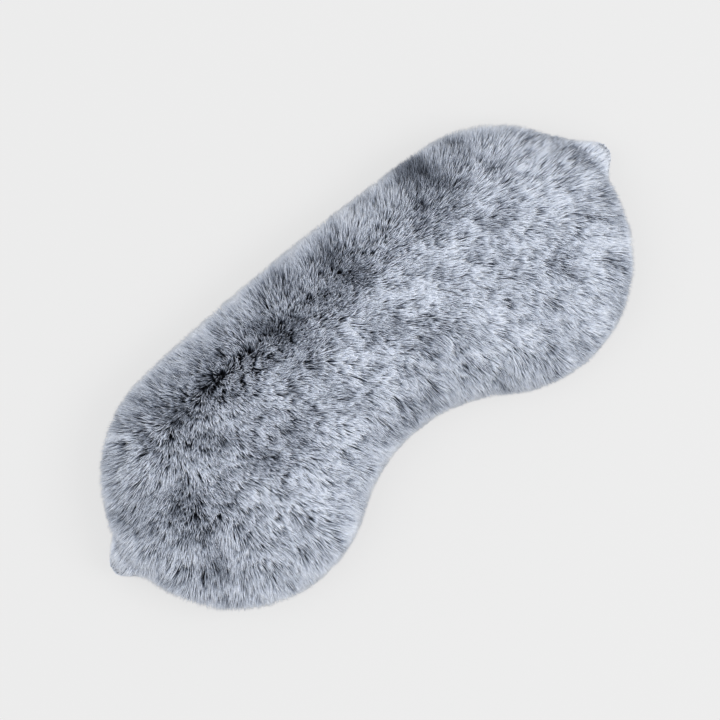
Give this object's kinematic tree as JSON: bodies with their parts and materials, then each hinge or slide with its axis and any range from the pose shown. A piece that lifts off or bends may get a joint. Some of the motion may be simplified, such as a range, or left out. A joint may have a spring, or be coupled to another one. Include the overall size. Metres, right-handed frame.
{
  "type": "eye pillow",
  "caption": "Kidney-shaped faux-fur eye pillow with a nose notch, a filled inner pouch, and a gathered head strap folded under its back.",
  "frame": {"origin": "on the resting surface, under the middle of the outline", "axes": "+X from ear to ear, +Y towards the straight top edge, -Y towards the nose notch, +Z out of the fur face"},
  "size_m": [0.2396, 0.1021, 0.037],
  "materials": {
    "fur": "frosted faux fur, dark roots and pale tips",
    "back_cloth": "short brushed plush",
    "wadding": "matt fibre wadding",
    "insert_cloth": "plain cotton",
    "fill": "loose beads or seed",
    "thread": "twisted thread, pale to match the pile",
    "label": "blank satin tape",
    "elastic": "knitted elastic",
    "strap_cloth": "gathered satin"
  },
  "bodies": {
    "pillow": {"fur_front_panel": "fur", "back_panel": "back_cloth", "edge_seam_thread": "thread", "closing_thread": "thread", "wadding_layer": "wadding", "insert_front_cloth": "insert_cloth", "insert_back_cloth": "insert_cloth", "insert_seam_thread": "thread", "channel_thread_left": "thread", "channel_thread_right": "thread", "bead_fill_left": "fill", "bead_fill_right": "fill", "care_label": "label", "strap_tack_left": "thread", "strap_tack_right": "thread"},
    "strap": {"strap_elastic": "elastic", "strap_sleeve": "strap_cloth"}
  },
  "joints": [
    {"name": "strap_swing", "type": "hinge", "parent": "pillow", "child": "strap", "pos_m": [0, 0.0028, 0.0036], "axis": [-1, 0, 0], "range_deg": [0, 140]}
  ]
}
